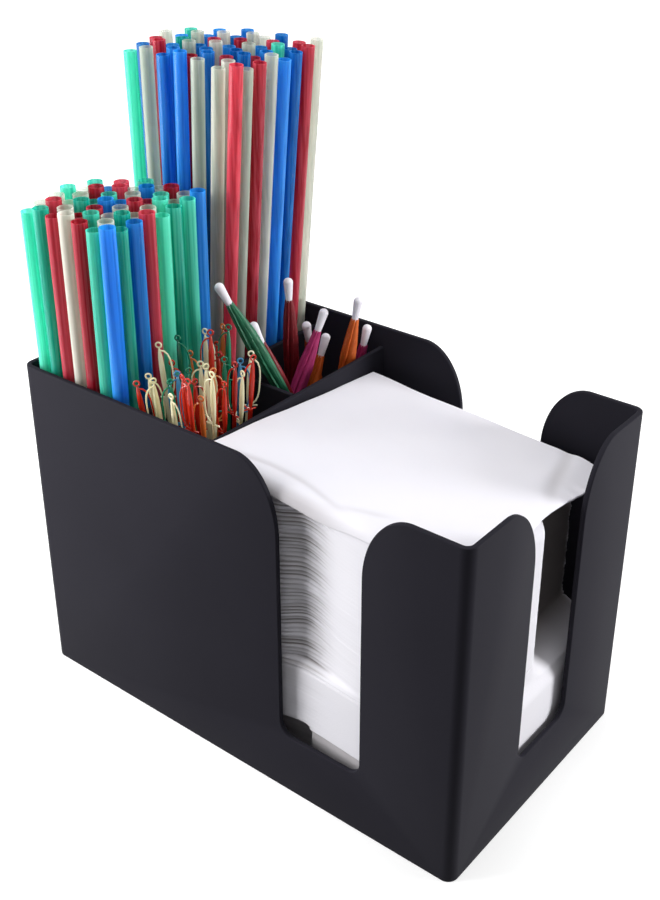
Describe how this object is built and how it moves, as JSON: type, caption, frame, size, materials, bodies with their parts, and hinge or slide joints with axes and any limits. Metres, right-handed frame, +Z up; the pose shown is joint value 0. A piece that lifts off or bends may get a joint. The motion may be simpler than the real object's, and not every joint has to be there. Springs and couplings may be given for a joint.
{
  "type": "condiment caddy",
  "caption": "Open dark plastic bar caddy with straw, pick and parasol pockets and a napkin bay with hand slots, shown with its stock.",
  "frame": {"origin": "on the table, under the middle of the tub", "axes": "+X along the length toward the napkin bay, +Y from the front wall to the back, +Z up"},
  "size_m": [0.241, 0.136, 0.297],
  "materials": {
    "caddy_plastic": "fine matte",
    "napkin_paper": "soft matte",
    "straw_green": "translucent gloss",
    "straw_blue": "translucent gloss",
    "straw_red": "translucent gloss",
    "straw_clear": "translucent gloss",
    "pick_red": "translucent gloss",
    "pick_cream": "translucent gloss",
    "pick_green": "translucent gloss",
    "pick_orange": "translucent gloss",
    "pick_blue": "translucent gloss",
    "stick_wood": "bare",
    "tip_paper": "matte",
    "canopy_green": "dyed tissue",
    "canopy_dark_red": "dyed tissue",
    "canopy_magenta": "dyed tissue",
    "canopy_orange": "dyed tissue"
  },
  "bodies": {
    "caddy": {"caddy_shell": "caddy_plastic", "napkin_wall": "caddy_plastic", "long_divider": "caddy_plastic", "cross_divider_front": "caddy_plastic", "cross_divider_back": "caddy_plastic"},
    "napkin_stack": {"napkin_packet_lower": "napkin_paper", "napkin_packet_upper": "napkin_paper"},
    "top_napkin": {"napkin_top": "napkin_paper"},
    "short_straws": {"short_straws_green": "straw_green", "short_straws_blue": "straw_blue", "short_straws_red": "straw_red", "short_straws_clear": "straw_clear"},
    "tall_straws": {"tall_straws_green": "straw_green", "tall_straws_blue": "straw_blue", "tall_straws_red": "straw_red", "tall_straws_clear": "straw_clear"},
    "sword_picks": {"sword_picks_red": "pick_red", "sword_picks_cream": "pick_cream", "sword_picks_green": "pick_green", "sword_picks_orange": "pick_orange", "sword_picks_blue": "pick_blue"},
    "parasols": {"parasol_sticks": "stick_wood", "parasol_tips": "tip_paper", "parasol_canopies_green": "canopy_green", "parasol_canopies_dark_red": "canopy_dark_red", "parasol_canopies_magenta": "canopy_magenta", "parasol_canopies_orange": "canopy_orange"}
  },
  "joints": [
    {"name": "napkin_stack_lift", "type": "slide", "parent": "caddy", "child": "napkin_stack", "axis": [0, 0, 1], "range_m": [0, 0.17]},
    {"name": "top_napkin_lift", "type": "slide", "parent": "napkin_stack", "child": "top_napkin", "axis": [0, 0, 1], "range_m": [0, 0.05]},
    {"name": "short_straws_lift", "type": "slide", "parent": "caddy", "child": "short_straws", "axis": [0, 0, 1], "range_m": [0, 0.17]},
    {"name": "tall_straws_lift", "type": "slide", "parent": "caddy", "child": "tall_straws", "axis": [0, 0, 1], "range_m": [0, 0.17]},
    {"name": "sword_picks_lift", "type": "slide", "parent": "caddy", "child": "sword_picks", "axis": [0, 0, 1], "range_m": [0, 0.17]},
    {"name": "parasols_lift", "type": "slide", "parent": "sword_picks", "child": "parasols", "axis": [0, 0, 1], "range_m": [0, 0.17]}
  ]
}
